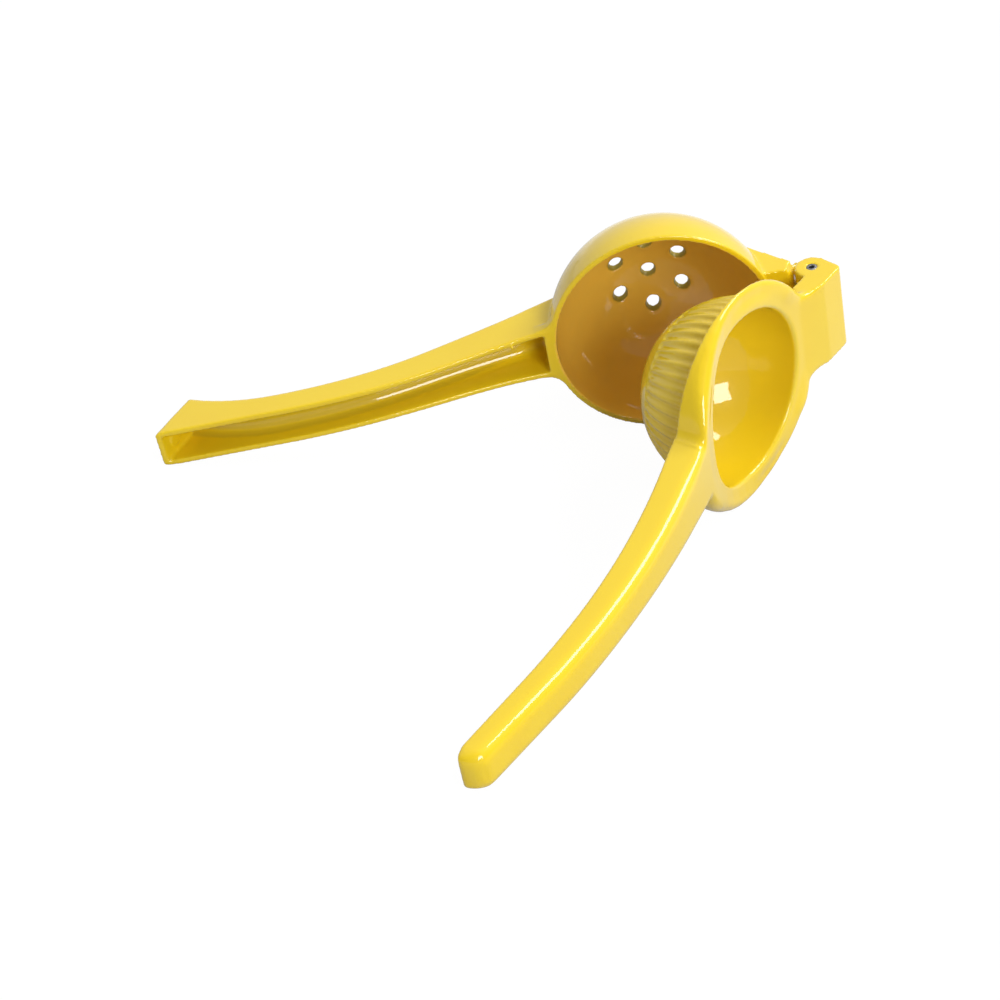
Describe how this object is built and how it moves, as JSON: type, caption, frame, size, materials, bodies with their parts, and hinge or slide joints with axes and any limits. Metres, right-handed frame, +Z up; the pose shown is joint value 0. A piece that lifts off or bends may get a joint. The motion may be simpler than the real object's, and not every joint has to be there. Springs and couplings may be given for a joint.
{
  "type": "hinged citrus squeezer",
  "caption": "Hand-held lemon squeezer: a pierced strainer cup and a fluted dome press, each cast with its long channel handle and hinged at the front on a steel pin, lying open on its side.",
  "frame": {"origin": "on the surface the tool lies on, under the middle of its bounding box", "axes": "+Z up; +X from the handles' ends towards the hinge; +Y from the press's handle towards the strainer's handle"},
  "size_m": [0.2134, 0.209, 0.0762],
  "materials": {
    "strainer_enamel": "gloss",
    "press_enamel": "gloss",
    "pin_steel": "satin"
  },
  "bodies": {
    "strainer": {"strainer_half": "strainer_enamel"},
    "press": {"press_half": "press_enamel", "hinge_pin": "pin_steel"}
  },
  "joints": [
    {"name": "hinge", "type": "hinge", "parent": "strainer", "child": "press", "pos_m": [0.09683, 0.01052, 0.04682], "axis": [-0.1954, 0, 0.9807], "range_deg": [-50.7, 95]}
  ]
}
